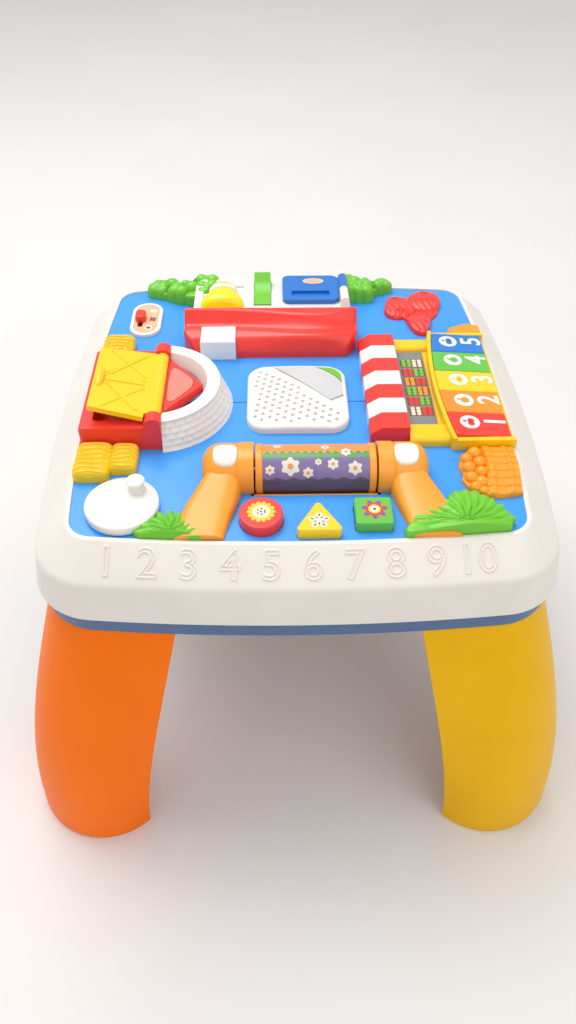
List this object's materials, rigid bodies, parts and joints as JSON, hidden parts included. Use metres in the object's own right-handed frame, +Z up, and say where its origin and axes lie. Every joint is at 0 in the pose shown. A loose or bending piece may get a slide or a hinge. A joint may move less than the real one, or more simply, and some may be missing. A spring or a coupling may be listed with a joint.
{
  "type": "musical activity table",
  "caption": "Square activity table for small children: play panel with doors, keys, buttons, picture drum, crank disc and slider in a sloping rim, on curved shell legs.",
  "frame": {"origin": "on the floor, under the middle of the table top", "axes": "+X to the right and +Y away from a child at the front side with the buttons, +Z up"},
  "size_m": [0.457, 0.457, 0.3369],
  "materials": {
    "sky_blue_plastic": "satin",
    "white_plastic": "satin",
    "slate_blue_plastic": "satin",
    "orange_plastic": "gloss",
    "yellow_plastic": "gloss",
    "red_plastic": "gloss",
    "green_plastic": "gloss",
    "deep_blue_plastic": "gloss",
    "leaf_green_plastic": "gloss",
    "salmon_plastic": "gloss",
    "grey_plastic": "gloss",
    "printed_sheet": "satin",
    "steel": "satin",
    "silicone": "matte",
    "circuit_board": "satin",
    "speaker_black": "matte",
    "cell_casing": "gloss"
  },
  "bodies": {
    "table": {"rim_frame": "white_plastic", "base_tray": "slate_blue_plastic", "battery_lid": "slate_blue_plastic", "batteries": "cell_casing", "battery_contacts": "steel", "top_panel": "sky_blue_plastic", "leg_back_right": "orange_plastic", "leg_back_left": "yellow_plastic", "leg_front_left": "orange_plastic", "leg_front_right": "yellow_plastic", "key_shaft": "steel", "market_frame": "yellow_plastic", "counter_picture": "printed_sheet", "awning": "red_plastic", "bush_left": "green_plastic", "bush_right": "green_plastic", "gate": "orange_plastic", "gate_caps": "white_plastic", "tree_left": "green_plastic", "tree_right": "green_plastic", "house_wall": "white_plastic", "lamp_ring": "white_plastic", "porch_lamp": "yellow_plastic", "house_roof": "red_plastic", "chimney": "white_plastic", "barn_base": "red_plastic", "hinge_pins": "steel", "barn_roof": "white_plastic", "barn_gable": "red_plastic", "hayloft_window": "salmon_plastic", "hay_bundles": "yellow_plastic", "flower_relief": "red_plastic", "pumpkin": "orange_plastic", "fruit_basket": "orange_plastic", "slider_bezel": "white_plastic", "slider_plate": "salmon_plastic", "speaker_cover": "white_plastic", "speaker_lens": "grey_plastic", "speaker_leaf": "green_plastic", "speaker_driver": "speaker_black", "circuit_boards": "circuit_board", "button_pads": "silicone", "key_pads": "silicone", "board_screws": "steel"},
    "key_1": {"key_1": "red_plastic"},
    "key_2": {"key_2": "orange_plastic"},
    "key_3": {"key_3": "yellow_plastic"},
    "key_4": {"key_4": "leaf_green_plastic"},
    "key_5": {"key_5": "deep_blue_plastic"},
    "button_circle": {"button_circle": "red_plastic"},
    "button_triangle": {"button_triangle": "yellow_plastic"},
    "button_square": {"button_square": "green_plastic"},
    "light_switch": {"light_switch": "green_plastic"},
    "house_door": {"house_door": "deep_blue_plastic"},
    "barn_door": {"barn_door": "yellow_plastic"},
    "drum": {"picture_drum": "printed_sheet", "drum_ends": "orange_plastic", "drum_axle": "steel"},
    "spinner": {"spinner_disc": "white_plastic"},
    "slider": {"slider_knob": "red_plastic"}
  },
  "joints": [
    {"name": "key_1_press", "type": "hinge", "parent": "table", "child": "key_1", "pos_m": [0.121, -0.0524, 0.3065], "axis": [0, 1, 0], "range_deg": [0, 3], "stiffness_Nm_per_rad": 1.5, "deforming": ["key_pads"]},
    {"name": "key_2_press", "type": "hinge", "parent": "table", "child": "key_2", "pos_m": [0.121, -0.0262, 0.3065], "axis": [0, 1, 0], "range_deg": [0, 3], "stiffness_Nm_per_rad": 1.5, "deforming": ["key_pads"]},
    {"name": "key_3_press", "type": "hinge", "parent": "table", "child": "key_3", "pos_m": [0.121, 0, 0.3065], "axis": [0, 1, 0], "range_deg": [0, 3], "stiffness_Nm_per_rad": 1.5, "deforming": ["key_pads"]},
    {"name": "key_4_press", "type": "hinge", "parent": "table", "child": "key_4", "pos_m": [0.121, 0.0262, 0.3065], "axis": [0, 1, 0], "range_deg": [0, 3], "stiffness_Nm_per_rad": 1.5, "deforming": ["key_pads"]},
    {"name": "key_5_press", "type": "hinge", "parent": "table", "child": "key_5", "pos_m": [0.121, 0.0524, 0.3065], "axis": [0, 1, 0], "range_deg": [0, 3], "stiffness_Nm_per_rad": 1.5, "deforming": ["key_pads"]},
    {"name": "button_circle_press", "type": "slide", "parent": "table", "child": "button_circle", "axis": [0, 0, -1], "range_m": [0, 0.002], "stiffness_N_per_m": 600, "deforming": ["button_pads"]},
    {"name": "button_triangle_press", "type": "slide", "parent": "table", "child": "button_triangle", "axis": [0, 0, -1], "range_m": [0, 0.002], "stiffness_N_per_m": 600, "deforming": ["button_pads"]},
    {"name": "button_square_press", "type": "slide", "parent": "table", "child": "button_square", "axis": [0, 0, -1], "range_m": [0, 0.002], "stiffness_N_per_m": 600, "deforming": ["button_pads"]},
    {"name": "light_switch_rock", "type": "hinge", "parent": "table", "child": "light_switch", "pos_m": [-0.0248, 0.12675, 0.311], "axis": [-1, 0, 0], "range_deg": [0, 14]},
    {"name": "house_door_swing", "type": "hinge", "parent": "table", "child": "house_door", "pos_m": [0.0463, 0.135, 0.3183], "axis": [0, 1, 0], "range_deg": [0, 110]},
    {"name": "barn_door_swing", "type": "hinge", "parent": "table", "child": "barn_door", "pos_m": [-0.102, -0.018, 0.3205], "axis": [0, 1, 0], "range_deg": [-12, 85]},
    {"name": "drum_turn", "type": "hinge", "parent": "table", "child": "drum", "pos_m": [0.0125, -0.0944, 0.305], "axis": [1, 0, 0], "continuous": true},
    {"name": "spinner_turn", "type": "hinge", "parent": "table", "child": "spinner", "pos_m": [-0.1183, -0.1274, 0.3], "axis": [0, 0, 1], "continuous": true},
    {"name": "slider_slide", "type": "slide", "parent": "table", "child": "slider", "axis": [0, 1, 0], "range_m": [-0.008, 0.008]}
  ]
}
